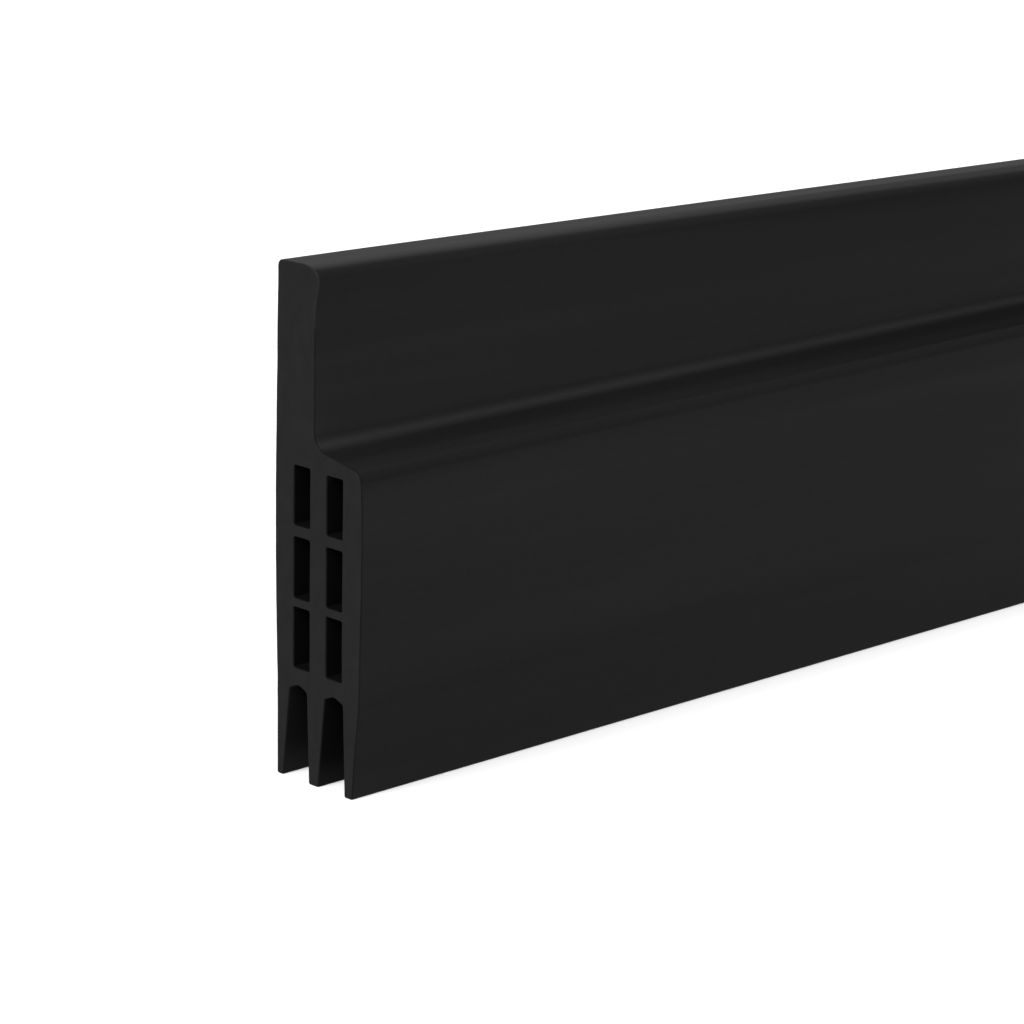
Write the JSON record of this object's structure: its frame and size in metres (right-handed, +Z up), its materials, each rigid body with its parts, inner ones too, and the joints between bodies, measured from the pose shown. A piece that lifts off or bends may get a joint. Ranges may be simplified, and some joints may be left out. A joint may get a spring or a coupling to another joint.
{
  "type": "self-adhesive draught excluder strip",
  "caption": "Self-adhesive silicone rubber strip that seals the gap under a door: an extruded section with a taped flange, a body of hollow cells and soft wiping fins",
  "frame": {"origin": "on the floor, under the middle of the whole part: the strip with its tape and liner", "axes": "+X along the strip, +Y out of its adhesive side, +Z up, so that the strip's front faces -Y"},
  "size_m": [1, 0.0132, 0.05],
  "materials": {
    "silicone_rubber": "black satin silicone with faint lengthwise extrusion lines, matt where it is cut",
    "adhesive_foam": "dark double-sided acrylic foam",
    "liner_film": "glossy red film, wrinkled where it lifts from the tape"
  },
  "bodies": {
    "root": {"seal_strip": "silicone_rubber", "adhesive_tape": "adhesive_foam", "release_liner": "liner_film"}
  },
  "joints": []
}
